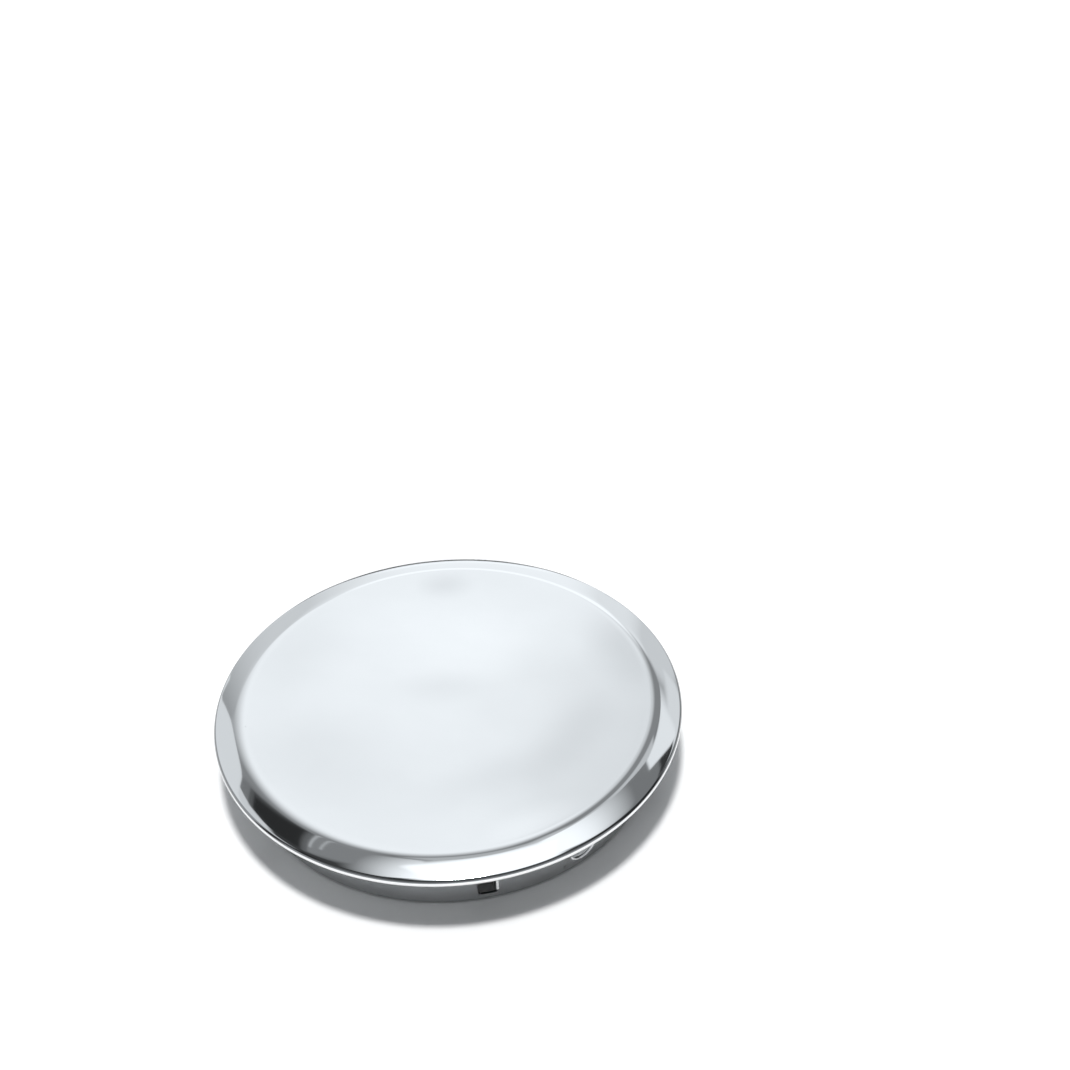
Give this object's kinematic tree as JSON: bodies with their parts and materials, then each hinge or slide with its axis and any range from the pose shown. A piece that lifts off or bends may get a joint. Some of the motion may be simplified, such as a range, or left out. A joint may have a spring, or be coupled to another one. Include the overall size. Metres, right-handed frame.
{
  "type": "wheel centre cap",
  "caption": "Round chromed pressed-steel wheel centre cap with a flat round-shouldered face, hemmed bevelled rim, push-in collar and riveted barbed spring strips.",
  "frame": {"origin": "centre of the collar's free lip, on the surface that the cap stands on", "axes": "+Z along the cap's axis, out of the face; +Y towards the first rivet"},
  "size_m": [0.094, 0.094, 0.0141],
  "materials": {
    "cover_chrome": "bright plated bevel and rim, satin-bright face",
    "collar_chrome": "bright plated, satin inside",
    "spring_steel": "dull rolled spring steel",
    "rivet_steel": "bright nickel"
  },
  "bodies": {
    "root": {"face_cover": "cover_chrome", "retaining_collar": "collar_chrome", "spring_strip_1": "spring_steel", "spring_strip_2": "spring_steel", "spring_strip_3": "spring_steel", "rivets": "rivet_steel"}
  },
  "joints": []
}
